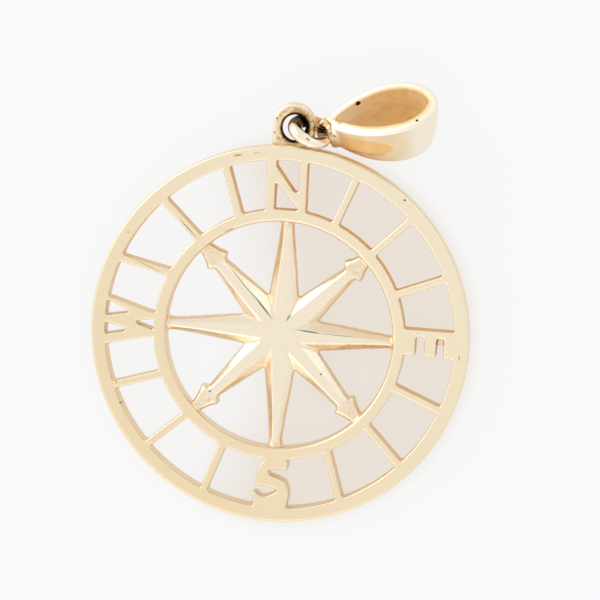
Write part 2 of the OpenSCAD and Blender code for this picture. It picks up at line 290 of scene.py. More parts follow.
def barField(x, y, step, bandSlip, ringSlip):
    # Distance to a straight bar from the ring to the band
    ends = []
    reach = disc["barReach"]
    for radius, slip in ((disc["ringRadius"] - reach, ringSlip), (bandRadius + reach, bandSlip)):
        angle = math.radians(step * disc["barStep"] + slip)
        ends.append((radius * math.sin(angle), radius * math.cos(angle)))
    (ax, ay), (bx, by) = ends
    length = math.hypot(bx - ax, by - ay)
    ex, ey = (bx - ax) / length, (by - ay) / length
    along = (x - (ax + bx) / 2) * ex + (y - (ay + by) / 2) * ey
    across = (y - ay) * ex - (x - ax) * ey
    return np.maximum(np.abs(across) - disc["barWidth"] / 2, np.abs(along) - length / 2)


def letterField(x, y, turn):
    # Distance to a letter's outline, and to the sunk web between two arms of the east letter
    u, v = around(x, y, turn)
    half, rise = disc["letterWidth"] / 2, bandRadius - disc["ringRadius"]

    def place(shares):
        return [(a * half, disc["ringRadius"] + b * rise) for a, b in shares]

    block, gaps = letters[turn]
    field = outlineField(u, v, place(block))
    for gap in gaps:
        field = softMax(field, -outlineField(u, v, place(gap)), disc["letterFill"])
    web = outlineField(u, v, place(letterWeb)) if turn == 90 else None
    return field, web


def plateField(x, y):
    # Outline of the pierced plate, its corners filled as a casting's are. A bar or letter is worked out only
    # near its own heading, between the ring and the band.
    margin, barHalfTurn, letterHalfTurn = 0.5, 9, 13
    x, y = np.broadcast_arrays(x, y)
    radius = np.hypot(x, y)
    band = np.abs(radius - (disc["radius"] + bandRadius) / 2) - disc["bandWidth"] / 2
    ring = np.abs(radius - (disc["ringRadius"] + roseRadius) / 2) - disc["ringWidth"] / 2
    field = np.minimum(band, ring)
    web = np.full(x.shape, farAway)
    near = (radius > disc["ringRadius"] - margin) & (radius < bandRadius + margin)
    turn = np.degrees(np.arctan2(x, y)) % 360
    for step, bandSlip, ringSlip in bars:
        pick = near & (np.abs((turn - step * disc["barStep"] + 180) % 360 - 180) < barHalfTurn)
        if pick.any():
            bar = barField(x[pick], y[pick], step, bandSlip, ringSlip)
            field[pick] = softMin(field[pick], bar, disc["cornerFill"])
    for heading in letters:
        pick = near & (np.abs((turn - heading + 180) % 360 - 180) < letterHalfTurn)
        if pick.any():
            letter, floor = letterField(x[pick], y[pick], heading)
            field[pick] = softMin(field[pick], letter, disc["cornerFill"] / 2)
            if floor is not None:
                web[pick] = floor
    return field, web, radius, turn


def roseFields(x, y):
    # Outline of the rose, the height of its top and how deep in a valley a place lies. Each ray is a roof
    # with a flat crown, and the higher ray shows.
    x, y = np.broadcast_arrays(x - disc["roseAt"][0], y - disc["roseAt"][1])
    outline = np.full(x.shape, farAway)
    top, filled = np.full(x.shape, -farAway), np.full(x.shape, -farAway)
    for k, slip in enumerate(raySlips):
        across, out = around(x, y, 45 * k)
        rows = np.array(arrowRay if k % 2 else plainRay)
        width, crown, edge, flat = (np.interp(out, rows[:, 0], rows[:, i]) for i in (1, 2, 3, 4))
        away = np.abs(across - slip)
        behind = np.maximum(-out, 0) * 2
        fall = (crown - edge) / (width - flat)
        roof = crown - fall * softMax(away - flat, 0 * away, disc["crownRound"]) - behind
        outline = softMin(outline, away - width + behind, disc["rayFill"])
        top = softMax(top, roof, disc["ridgeRound"])
        filled = softMax(filled, roof, disc["valleyFill"])
    return outline, top, (filled - top) / disc["valleyDepth"]


def loopOutline(x, y):
    # A round top on straight sides that rise from the rim, with a round hole that keeps a shoulder where no
    # wire rubs. Also the radius of the upper edge, which grows from the outside to the hole.
    u = x - disc["loopAcross"]
    half, crownAt = disc["loopWidth"] / 2, holeAt[1] + disc["loopCrown"]
    outer = np.where(y > crownAt, np.hypot(u, y - crownAt) - half,
                     np.maximum(np.abs(u) - half, disc["radius"] - disc["bandWidth"] / 2 - y))
    way = np.degrees(np.arctan2(x - holeAt[0], y - holeAt[1])) - disc["shoulderTurn"]
    shoulder = disc["holeShoulder"] * np.maximum(np.cos(np.radians(way)), 0) ** 3
    hole = disc["loopHole"] / 2 - shoulder - np.hypot(x - holeAt[0], y - holeAt[1])
    edge = disc["loopEdge"] + (disc["holeEdge"] - disc["loopEdge"]) * smooth(-0.1, 0.1, hole - outer)
    return np.maximum(outer, hole), edge


def nearRadius(radius, middle, width):
    # 1 at a radius, fading to both sides of it
    return np.exp(-((radius - middle) / width) ** 2)


def discField(x, y, z):
    # The pierced plate with the east letter's web, then the rose, then the loop. The distance to the rose's
    # sloping roofs is a share of the height above them.
    plate, web, radius, turn = plateField(x, y)
    worn = np.maximum(np.cos(np.radians(turn - disc["wornTurn"])), 0)
    plain = disc["plainEdge"]
    topEdge = plain + (disc["ringEdge"] - plain) * nearRadius(radius, roseRadius, disc["ringSpread"]) \
        + (disc["rimEdge"] - plain) * nearRadius(radius, disc["radius"], disc["rimSpread"]) \
        + disc["wornEdge"] * worn * nearRadius(radius, bandRadius, disc["wornSpread"])
    field = slab(plate, z, 0, disc["thickness"], topEdge, disc["footEdge"])
    field = np.minimum(field, slab(web, z, 0, disc["webHeight"], disc["webEdge"], disc["webEdge"]))
    outline, top, _ = roseFields(x, y)
    top = top + disc["roseRipple"] * ripple(x, y, 0, disc["rippleSize"], 4)
    rose = softMax((z - top) * disc["roofShare"], outline, disc["roseEdge"])
    rose = softMax(rose, -z, disc["roseEdge"])
    rose = np.maximum(rose, radius - roseRadius - disc["roseReach"])
    field = softMin(field, rose, disc["roseFill"])
    outline, edge = loopOutline(x, y)
    loop = slab(outline, z, disc["loopLow"], disc["loopHigh"], edge, disc["loopFootEdge"])
    return softMin(field, loop, disc["loopFill"])


def lieDown(points):
    # From the disc's own frame in mm to where it lies, in metres
    return (points @ discTurn.T) * mm


points, faces, normals = castSurface(discField, disc["meshLow"], disc["meshHigh"], disc["meshStep"])
radius = np.hypot(points[:, 0], points[:, 1])
rose = smooth(roseRadius + 0.1, roseRadius - 0.15, radius)


def discTint():
    # How far each point is from clean gold. Warm is the orange tan of metal that polish doesn't reach: the
    # walls of the gaps, the arrowheads, the ends of the rays and the loop's face. It is also painted shade,
    # deeper on the walls to the north-east, on the rim's wall under the bail, on the facets of the east and
    # south-west rays and in the valleys between the rays. Stain is the tarnish in and round the loop's hole
    # and at its foot, and painted shade on the facets that turn from the light and on the hole's own wall.
    # Places in mm, headings in degrees from north.
    x, y, z = points.T
    level = normals[:, 2]
    turn = np.degrees(np.arctan2(x, y))

    # The walls of the gaps and of the rim: raw casting skin, with painted shade that deepens the gap walls to
    # the north-east and the rim's wall under the bail
    wall = smooth(0.6 - 0.2 * rose, 0.2, np.abs(level)) * smooth(-0.03, -0.16, z - disc["thickness"])
    rim = smooth(12.1, 12.35, radius)
    wall *= (0.46 + 0.4 * np.cos(np.radians(turn - 25)) * smooth(3, 8, radius)) * (1 - rim) \
        + rim * (0.12 + 0.88 * np.exp(-((turn - 16) / 15) ** 2))

    # The rose. Painted shade darkens the sloping facets of the east and south-west rays, which turn from the
    # light, and the valleys between the rays
    head = smooth(6.0, 6.35, radius) * rose * smooth(14, 8, np.abs(turn % 90 - 45))
    facet = smooth(0.97, 0.88, level) * rose * smooth(1.2, 1.8, radius) * smooth(0.4, 0.55, z)
    eastern = smooth(20, 14, np.abs(turn - 90)) * facet * np.where(turn > 90, 1, 0.6)
    southern = smooth(22, 16, np.abs(turn + 150)) * facet * smooth(137, 141, np.abs(turn)) * 0.8
    shadedFacets = np.maximum(eastern, southern)
    end = smooth(7.0, 7.5, radius) * rose
    rayEdge, _, crease = roseFields(x, y)
    # Painted shade in the valleys between the rays, growing out from the hub
    valleyShade = np.clip(crease, 0, 1) * (0.35 * smooth(0.8, 1.8, radius) + 0.5 * smooth(1.9, 2.9, radius)) * rose
    border = smooth(-0.1, -0.02, rayEdge) * rose

    # The loop: its face, black round its hole that is tarnish on the face and painted shade on the hole's own
    # wall, a darker line just inside its edge, strongest to the north-east, and the line at its foot
    onLoop = smooth(disc["radius"] - 0.05, disc["radius"] + 0.1, radius) * smooth(11.9, 12.1, y)
    fromHole = np.hypot(x - holeAt[0], y - holeAt[1]) - disc["loopHole"] / 2
    way = np.degrees(np.arctan2(x - holeAt[0], y - holeAt[1]))
    outer, _ = loopOutline(x, y)
    wall *= 1 - 0.75 * onLoop * (fromHole > 0.05)
    face = onLoop * smooth(-0.12, -0.4, outer) * smooth(0.6, 0.9, level)
    heavy = 1 + 0.5 * np.cos(np.radians(way - 65)) + 0.35 * np.cos(np.radians(2 * way - 60)) \
        + 0.25 * ripple(x, y, z, 0.5, 2)
    holeTarnishAndShade = onLoop * np.exp(-np.maximum(fromHole, 0) / (0.16 * heavy))
    edgeLine = onLoop * smooth(0.09, 0.02, np.abs(outer + 0.3)) * smooth(0.6, 0.9, level) \
        * (0.5 + 0.5 * np.cos(np.radians(way - 60)) + 0.3 * ripple(x, y, z, 0.6, 5))
    footSpan = smooth(1.45, 1.2, np.abs(x - 0.2))
    foot = onLoop * smooth(0.4, 0.02, radius - disc["radius"]) * footSpan
    line = onLoop * smooth(0.1, 0.02, np.abs(radius - disc["radius"] - 0.04)) * footSpan
    mottle = face * (0.14 + 0.2 * smooth(0.1, 0.7, ripple(x, y, z, 0.45, 8)))

    tarnishAndShade = np.maximum.reduce([
        holeTarnishAndShade, 0.16 * foot, 0.5 * line, mottle, 0.3 * edgeLine, 0.1 * head, 0.12 * shadedFacets])
    tint = np.maximum.reduce([
        wall, 0.16 * head, 0.4 * end, valleyShade, 0.35 * border, 0.2 * face, 0.9 * foot, 0.6 * edgeLine,
        0.4 * shadedFacets])
    return np.clip(tint, 0, 1), np.clip(tarnishAndShade, 0, 1)


warm, stainAndShade = discTint()
compassDisc = makePiece("compassDisc", lieDown(points), faces, {"rose": rose, "warm": warm, "stainAndShade": stainAndShade})
print("compass disc:", len(faces), "faces")

# Jump ring, sizes in mm, turns and spread in degrees, wear as a share of the wire's radius
ring = {"outside": 3.1, "wire": 0.78, "aroundSteps": 220, "wireSteps": 40,
        "wear": 0.13, "wearTurn": -6, "bend": 0.17, "bendTurn": -49, "bendSpread": 86,
        "pitAt": (0.13, -1.43, 0.28), "tuck": 0.23, "sag": 0.14, "lift": 0.03}
ringRadius = (ring["outside"] - ring["wire"]) / 2
ringAt = discTurn @ np.array([disc["loopAcross"] + disc["loopWidth"] / 2 - ring["tuck"],
                              holeAt[1] - ring["sag"],
                              (disc["loopLow"] + disc["loopHigh"]) / 2 + ring["lift"]])
hookAt = ringAt + ringRadius * turnMatrix(0, -pose["ringRise"], pose["ringTurn"])[:, 0]


def wireRadius(u):
    # The wire is thinnest close to where the bail hangs, at u = 0, and as much thicker on the opposite side
    return ring["wire"] / 2 * (1 - ring["wear"] * np.cos(u - math.radians(ring["wearTurn"])))


def wireDrop(u):
    # How far the wire is bent down out of the ring's plane, where it was opened and closed again
    away = np.abs(np.degrees(np.angle(np.exp(1j * u))) - ring["bendTurn"])
    return ring["bend"] * smooth(ring["bendSpread"], 0, away)


def ringSurface():
    # A round wire carried along a circle, u the angle along it and v the angle round the wire: the point is
    # the circle's point plus the wire's radius times cos v outwards and sin v up. The drop of each point is
    # given beside it.
    u = np.linspace(0, 2 * np.pi, ring["aroundSteps"], endpoint=False)[:, None]
    v = np.linspace(0, 2 * np.pi, ring["wireSteps"], endpoint=False)[None, :]
    thick = wireRadius(u)
    out = ringRadius + thick * np.cos(v)
    x, y, z = out * np.cos(u), out * np.sin(u), thick * np.sin(v)
    points = np.stack([x, y, z], -1).reshape(-1, 3)
    nu, nv = ring["aroundSteps"], ring["wireSteps"]
    i, j = np.meshgrid(np.arange(nu), np.arange(nv), indexing="ij")
    corner = [(i + a) % nu * nv + (j + b) % nv for a, b in ((0, 0), (1, 0), (1, 1), (0, 1))]
    drop = np.repeat(wireDrop(u).ravel(), nv)
    return points, np.stack(corner, -1).reshape(-1, 4), drop


points, faces, drop = ringSurface()
turn = np.degrees(np.arctan2(points[:, 1], points[:, 0]))
# The far side of the ring is rough and golden, and black where it lies in the loop's hole: partly tarnish,
# partly painted shade where it hangs under the loop and the bail's eye. Angles in degrees.
backSide = np.maximum(smooth(160, 172, turn), smooth(-155, -172, turn))
warm = np.maximum(smooth(5, 45, turn) * smooth(172, 150, turn), 0.7 * backSide)
stainAndShade = np.maximum(smooth(105, 130, turn) * smooth(172, 160, turn), 0.3 * backSide)
pit = smooth(0.13, 0.06, np.linalg.norm((points - ring["pitAt"]) * (0.6, 1, 1), axis=1))
grainPits = smooth(20, 50, turn) * smooth(110, 80, turn) * smooth(0.1, 0.6, ripple(*points.T, 0.3, 6))
stainAndShade = np.maximum.reduce([stainAndShade, 0.35 * pit, 0.8 * grainPits])
points[:, 2] -= drop
jumpRing = makePiece("jumpRing", (points @ ringTurn.T + ringAt) * mm, faces, {"warm": warm, "stainAndShade": stainAndShade})
print("jump ring:", len(faces), "faces")

# Bail, sizes in mm on its own frame: from the middle of the wire in its eye, along the bail, over its height
# and across its width. Shrink, dome and widestAt are shares, and the powers shape the teardrop.
bail = {
    "length": 7.6, "height": 4.08, "width": 4.0, "tipWidth": 1.84, "thickness": 0.57, "shrink": 0.12,
    "dome": 0.02, "widestAt": 0.7, "widthRound": 0.5, "tipPower": 0.78, "topPower": 0.54, "rimEdge": 0.17,
    "nearThicker": 0.14, "farThicker": 0.3, "lineDepth": 0.005, "lineSpacing": 0.24,
    "tipAt": (-0.09, 0.34, 0.43), "eyeAt": (-0.02, 0.27, 0.28),
    "eyeLength": 1.72, "eyeWidth": 0.98, "eyeRim": 0.22, "eyeDepth": 0.5, "eyeEdge": 0.12,
    "collar": 0.45, "collarStart": 0.16, "collarRound": 0.4, "collarFill": 0.08, "bandFill": 0.4,
    "wireGap": 0.035, "holeEdge": 0.06, "pitAt": (-0.3, 0.27, 0.7), "pitWidth": 0.5, "pitFill": 0.1,
    "dishAt": (0.0, -0.15, 1.62), "dishWidth": 1.0, "dishEdge": 0.05,
    "profileSteps": 130, "tableStep": 0.04, "tableMargins": (1.2, 1.4), "tableHalf": 3.2,
    "meshLow": (-1.1, -2.3, -2.2), "meshHigh": (8.0, 3.0, 2.8), "meshStep": 0.06,
}


def profileTable():
    # Distances to the bail's teardrop on a grid. The teardrop's half height is u to the tip power times 1 - u
    # to the top power, scaled to the bail's height, with u the share of its length from the tip.
    a, b = bail["tipPower"], bail["topPower"]
    peak = a ** a * b ** b / (a + b) ** (a + b)
    u = (1 - np.cos(np.linspace(0, np.pi, bail["profileSteps"]))) / 2
    half = u ** a * (1 - u) ** b / peak * bail["height"] / 2
    corners = list(zip(u * bail["length"], half))
    corners += list(zip(u[-2:0:-1] * bail["length"], -half[-2:0:-1]))
    before, after = bail["tableMargins"]
    s = np.arange(-before, bail["length"] + after, bail["tableStep"])
    h = np.arange(-bail["tableHalf"], bail["tableHalf"], bail["tableStep"])
    gs, gh = np.meshgrid(s, h, indexing="ij")
    return s, h, outlineField(gs, gh, corners)


profileS, profileH, profileField = profileTable()


def lookUp(s, h):
    # The table's value between its grid points, in proportion
    i = np.clip((s - profileS[0]) / bail["tableStep"], 0, len(profileS) - 1.001)
    j = np.clip((h - profileH[0]) / bail["tableStep"], 0, len(profileH) - 1.001)
    i0, j0 = i.astype(int), j.astype(int)
    fi, fj = i - i0, j - j0
    f = profileField
    below = f[i0, j0] * (1 - fi) + f[i0 + 1, j0] * fi
    above = f[i0, j0 + 1] * (1 - fi) + f[i0 + 1, j0 + 1] * fi
    return below * (1 - fj) + above * fj


def bandShell(x, y, z):
    # The band: from the teardrop's outline to a thickness inside it, and within its width, which grows from
    # the tip
    tip = bail["tipAt"]
    s, h, across = np.broadcast_arrays(x - tip[0], y - tip[1], z - tip[2])
    share = np.clip(s / bail["length"] / bail["widestAt"], 0, 9)
    widening = softMin(share, 1, bail["widthRound"])
    half = (bail["tipWidth"] + (bail["width"] - bail["tipWidth"]) * widening) / 2
    side = np.clip(across / half, -1, 1)
    grow = 1 - bail["shrink"] * (1 - side) / 2 + bail["dome"] * (1 - side * side)
    depth = lookUp(s / grow, h / grow) * grow
    # The casting is thicker towards the longer rim on the south side, which keeps fine file lines, and
    # towards the shorter rim on the north side
    nearSide = bail["nearThicker"] * smooth(-0.2, 1, side) * smooth(0.3, -0.3, h)
    farSide = bail["farThicker"] * smooth(0.2, -1, side) * smooth(-0.3, 0.3, h)
    fileLines = bail["lineDepth"] * np.sin(across * 2 * np.pi / bail["lineSpacing"]) \
        * smooth(0.3, 0.5, side) * smooth(-0.5, -1, h)
    thickness = bail["thickness"] + nearSide + farSide + fileLines
    shell = np.abs(depth + thickness / 2) - thickness / 2
    return rounded(shell, np.abs(across) - half, bail["rimEdge"]), depth


def wireField(x, y, z):
    # Distance to the jump ring's wire, from places in the bail's own frame
    places = np.stack(np.broadcast_arrays(x, y, z)).reshape(3, -1)
    rx, ry, rz = ringTurn.T @ (bailTurn @ places + (hookAt - ringAt)[:, None])
    u = np.arctan2(ry, rx)
    out = np.hypot(np.hypot(rx, ry) - ringRadius, rz + wireDrop(u)) - wireRadius(u)
    return out.reshape(np.broadcast(x, y, z).shape)


def ballField(x, y, z, middle, width):
    # Distance to a ball
    return np.hypot(np.hypot(x - middle[0], y - middle[1]), z - middle[2]) - width / 2


def bailField(x, y, z):
    # Band, eye and collar, less a dish in the top of the tip, a hole that fits the wire and a pit beside it
    band, _ = bandShell(x, y, z)
    eyeX, eyeY, eyeZ = bail["eyeAt"]
    edge = bail["eyeEdge"]
    half = (bail["eyeLength"] - bail["eyeWidth"]) / 2
    oval = np.hypot(x - eyeX, z - np.clip(z, eyeZ - half, eyeZ + half))
    outer = oval - bail["eyeWidth"] / 2 - bail["eyeRim"]
    high, low, top = y - eyeY, -bail["eyeDepth"] / 2, bail["eyeDepth"] / 2
    eye = slab(outer, high, low, top, edge, edge)
    collarOutline = softMax(outer, eyeX + bail["collarStart"] - x, bail["collarRound"])
    collar = slab(collarOutline, high, low - bail["collar"], top, edge, edge)
    field = softMin(softMin(eye, collar, bail["collarFill"]), band, bail["bandFill"])
    field = softMax(field, -ballField(x, y, z, bail["dishAt"], bail["dishWidth"]), bail["dishEdge"])
    pit = ballField(x, y, z, bail["pitAt"], bail["pitWidth"])
    hole = softMin(wireField(x, y, z) - bail["wireGap"], pit, bail["pitFill"])
    return softMax(field, -hole, bail["holeEdge"])


points, faces, _ = castSurface(bailField, bail["meshLow"], bail["meshHigh"], bail["meshStep"])
_, depth = bandShell(*points.T)


def bailTint():
    # Inside is the warm inner face. Warm is also a painted reflection of the disc's gold wall on the south
    # side, with a speckled darker line along its lower edge, and the raw metal of the tip. Stain is mostly
    # tarnish: black pits in the eye's rough golden face and a few spots and creases on the band. The black
    # round the wire's hole in the eye is partly painted shade, and a dark spot in the slit beside the wire is
    # painted shade.
    x, y, z = points.T

    def spot(along, high, across, near, far):
        return smooth(far, near, np.hypot(np.hypot(x - along, y - high), z - across))

    rough = ripple(x, y, z, 0.22, 7)
    inside = smooth(-0.3, -0.5, depth) * smooth(0.3, 0.6, x) * (0.6 + 0.4 * smooth(1.2, 3.4, x))

    # The eye's face ends at an edge that slopes with its height and its place across the bail
    edge = 0.42 - 0.9 * np.maximum(y, 0) - 0.2 * np.maximum(1.1 - z, 0)
    eye = smooth(edge + 0.03, edge - 0.05, x) * smooth(0.3, 0.55, z)
    border = np.exp(-((x - edge) / 0.045) ** 2) * smooth(0.45, 0.7, z) * smooth(-0.7, -0.5, y)
    # Black round the wire's hole in the eye: partly tarnish, partly painted shade where the wire passes
    # through
    hole = smooth(1.3, 0.7, np.hypot((x + 0.27) / 0.34, (z - 0.8) / 0.5)) * eye
    holeShadeAndTarnish = hole * (0.45 + 0.4 * smooth(-0.5, 0.4, rough))
    pits = eye * (0.14 + 0.4 * smooth(0.3, 1.0, rough))

    # The south side of the band: a painted reflection of the disc's gold wall with a speckled darker line
    # along its lower edge, then the tip and foot
    fromReflection = np.hypot((x - 2.55) / 1.85, (z - 0.45) / 0.82)
    discReflection = smooth(1.06, 0.88, fromReflection) * smooth(-0.3, -0.6, y)
    lowEdge = np.exp(-((z + 0.4 - 0.06 * (x - 1.4)) / 0.09) ** 2) \
        * smooth(0.7, 1.1, x) * smooth(4.2, 3.4, x) * smooth(-0.4, -0.7, y)
    seam = x - 0.92 - 0.17 * z
    tip = smooth(-0.04, 0.06, seam) * smooth(0.9, 0.3, seam) * smooth(1.5, 1.1, z) * smooth(-0.3, -0.5, y)
    foot = smooth(-0.4, -0.62, z) * smooth(1.1, 0.8, x) * smooth(-0.2, -0.4, y)

    # The spot 0.58 mm along is painted shade in the slit between the wire and the eye's wall
    grimeAndShade = np.maximum.reduce([
        spot(2.2, 1.33, 1.6, 0.1, 0.22), 0.8 * spot(6.19, -1.0, 2.37, 0.05, 0.12),
        0.6 * spot(0.58, -0.49, 0.76, 0.05, 0.12), pits, holeShadeAndTarnish, 0.4 * border, 0.3 * foot,
        0.25 * spot(1.0, 0.1, z, 0.2, 0.5) * smooth(-0.25, -0.45, depth),
        lowEdge * (0.24 + 0.16 * smooth(-0.2, 0.8, rough)),
        tip * (0.1 + 0.26 * smooth(0.4, 1.0, rough))])
    tint = np.maximum.reduce([
        0.75 * discReflection, 0.5 * eye, 0.35 * tip, 0.8 * foot, 0.5 * border, 0.8 * lowEdge])
    return inside, np.clip(tint, 0, 1), np.clip(grimeAndShade, 0, 1)


inside, warm, stainAndShade = bailTint()
bailPiece = makePiece("bailBand", (points @ bailTurn.T + hookAt) * mm, faces,
                      {"inside": inside, "warm": warm, "stainAndShade": stainAndShade})
print("bail:", len(faces), "faces")


# Materials


def linear(hexColour):
    # sRGB hex to linear light
    out = []
    for i in (1, 3, 5):
        c = int(hexColour[i:i + 2], 16) / 255
        out.append(c / 12.92 if c <= 0.04045 else ((c + 0.055) / 1.055) ** 2.4)
    return (*out, 1)


def addNode(tree, kind, settings=None, **links):
    # One node, its settings, and what goes into its sockets: a value or another node's output. A key such as
    # i0 is a socket's number, and any other key is its name.
    node = tree.nodes.new(kind)
    for key, value in (settings or {}).items():
        setattr(node, key, value)
    for key, value in links.items():
        byNumber = key[0] == "i" and key[1:].isdigit()
        socket = node.inputs[int(key[1:]) if byNumber else key.replace("_", " ")]
        if isinstance(value, bpy.types.NodeSocket):
            tree.links.new(value, socket)
        else:
            socket.default_value = value
    return node


def startMaterial(name):
    material = bpy.data.materials.new(name)
    material.use_nodes = True
    tree = material.node_tree
    tree.nodes.clear()
    place = addNode(tree, "ShaderNodeTexCoord").outputs["Object"]
    shader = addNode(tree, "ShaderNodeBsdfPrincipled", None, Metallic=1.0)
    addNode(tree, "ShaderNodeOutputMaterial", None, Surface=shader.outputs[0])
    return material, tree, place, shader


def attribute(tree, name):
    return addNode(tree, "ShaderNodeAttribute", {"attribute_name": name}).outputs["Fac"]


def mixColours(tree, share, first, second):
    return addNode(tree, "ShaderNodeMix", {"data_type": "RGBA"}, i0=share, i6=first, i7=second).outputs[2]


def mathNode(tree, operation, first, second, clamp=False):
    settings = {"operation": operation, "use_clamp": clamp}
    return addNode(tree, "ShaderNodeMath", settings, i0=first, i1=second).outputs[0]


def noise(tree, place, sizeMm, detail=2.0, rough=0.5):
    # Noise whose lumps are about the given size
    return addNode(tree, "ShaderNodeTexNoise", None, Vector=place, Scale=1 / (sizeMm * mm), Detail=detail,
                   Roughness=rough).outputs["Fac"]


def spread(tree, value, start, end):
    # 0 below start, 1 above end
    settings = {"interpolation_type": "SMOOTHSTEP"}
    return addNode(tree, "ShaderNodeMapRange", settings, i0=value, i1=start, i2=end).outputs[0]


def paintTarnishAndShade(tree, place, colour, warm, stainAndShade, warmColour):
    # Orange tan where polish doesn't reach and as painted shade, then tan, brown and black, as tarnish and as
    # painted shade, that break up into specks
    specks = noise(tree, place, 0.14, 3, 0.65)
    patchy = noise(tree, place, 0.7, 2)
    warmShare = mathNode(tree, "MULTIPLY", warm, mathNode(tree, "ADD", patchy, 0.5), True)
    colour = mixColours(tree, warmShare, colour, linear(warmColour))
    depth = mathNode(tree, "ADD", mathNode(tree, "MULTIPLY", stainAndShade, 1.6), specks)
    depth = mathNode(tree, "MULTIPLY", depth, spread(tree, stainAndShade, 0.02, 0.1))
    colour = mixColours(tree, spread(tree, depth, 0.65, 1.0), colour, linear("#C3A26B"))
    brown = spread(tree, depth, 0.95, 1.35)
    colour = mixColours(tree, brown, colour, linear("#7B5A30"))
    return mixColours(tree, spread(tree, depth, 1.3, 1.6), colour, linear("#1A120B")), warmShare, brown


def goldSurface(tree, place, shader, layers, rawSkin, roughness, grain, lumps):
    # Colour layers, roughness, and the two scales of unevenness, each as size and height in mm. The raw skin
    # of the casting scatters light as well as mirroring it, and its glancing reflection keeps the metal's own
    # colour.
    colour, warmShare, brown = layers
    metal = mathNode(tree, "SUBTRACT", 1.0, mathNode(tree, "MULTIPLY", rawSkin, 0.5))
    tree.links.new(metal, shader.inputs["Metallic"])
    tree.links.new(colour, shader.inputs["Base Color"])
    tree.links.new(mixColours(tree, warmShare, (1, 1, 1, 1), colour), shader.inputs["Specular Tint"])
    rough = mathNode(tree, "ADD", roughness, mathNode(tree, "MULTIPLY", brown, 0.3), True)
    tree.links.new(rough, shader.inputs["Roughness"])
    big = addNode(tree, "ShaderNodeBump", None, Height=noise(tree, place, lumps[0], 1),
                  Distance=lumps[1] * mm)
    small = addNode(tree, "ShaderNodeBump", None, Height=noise(tree, place, grain[0], 2),
                    Distance=grain[1] * mm, Normal=big.outputs[0])
    tree.links.new(small.outputs[0], shader.inputs["Normal"])


# Marks on the disc, in mm on its own frame. Columns: across, up, half length, half width, heading of the long
# side in degrees from east, depth of tarnish.
marks = [(-3.3, 11.68, 0.32, 0.09, 10, 0.3), (-2.12, 11.9, 0.3, 0.06, 10, 0.2),
         (-10.31, 6.1, 0.09, 0.07, 0, 0.3), (-10.3, -5.34, 0.08, 0.07, 0, 0.45),
         (-10.64, -3.95, 0.06, 0.06, 0, 0.45), (11.93, -0.53, 0.25, 0.035, 95, 0.4),
         (-3.62, 6.73, 0.4, 0.035, 27, 0.4), (2.93, -2.37, 0.08, 0.07, 0, 0.5),
         (7.76, 9.52, 0.1, 0.08, 0, 0.5), (4.31, -0.58, 0.12, 0.07, 0, 0.4),
         (-4.37, -4.11, 0.1, 0.08, 0, 0.45), (-0.9, 14.25, 0.08, 0.06, 40, 0.6),
         (0.65, 14.63, 0.09, 0.07, 0, 0.6), (0.18, 14.84, 0.07, 0.05, 0, 0.5),
         (-0.45, 12.97, 0.07, 0.07, 0, 0.5), (-1.0, 13.3, 0.06, 0.1, 20, 0.5),
         (0.95, 14.2, 0.12, 0.04, -40, 0.5)]

# Thin dark green lines where the crests of rays and the edges of two bars mirror something dark, in the same
# columns
greenLines = [(-1.15, 1.8, 1.05, 0.055, -48.5, 1.0), (-2.4, 3.1, 1.9, 0.035, -46, 0.8),
              (0.58, 1.22, 0.27, 0.05, 63, 0.9), (2.0, 0.39, 0.85, 0.05, -5, 1.0),
              (3.9, 0.29, 1.5, 0.03, -2, 0.7), (-6.3, 6.6, 0.9, 0.04, -44, 0.8),
              (-8.85, 3.95, 1.3, 0.03, -22, 0.6)]


def markNodes(tree, place, rows):
    # The strongest of the rows' ovals at each place, fading over their outer half
    total = 0.0
    for across, up, halfLength, halfWidth, heading, strength in rows:
        local = addNode(tree, "ShaderNodeMapping", {"vector_type": "TEXTURE"}, Vector=place,
                        Location=(across, up, 1), Rotation=(0, 0, math.radians(heading)),
                        Scale=(halfLength, halfWidth, 1)).outputs[0]
        away = addNode(tree, "ShaderNodeVectorMath", {"operation": "LENGTH"}, i0=local).outputs["Value"]
        oval = addNode(tree, "ShaderNodeMapRange", None, i0=away, i1=1.2, i2=0.5, i3=0.0,
                       i4=strength).outputs[0]
        total = mathNode(tree, "MAXIMUM", oval, total)
    return total


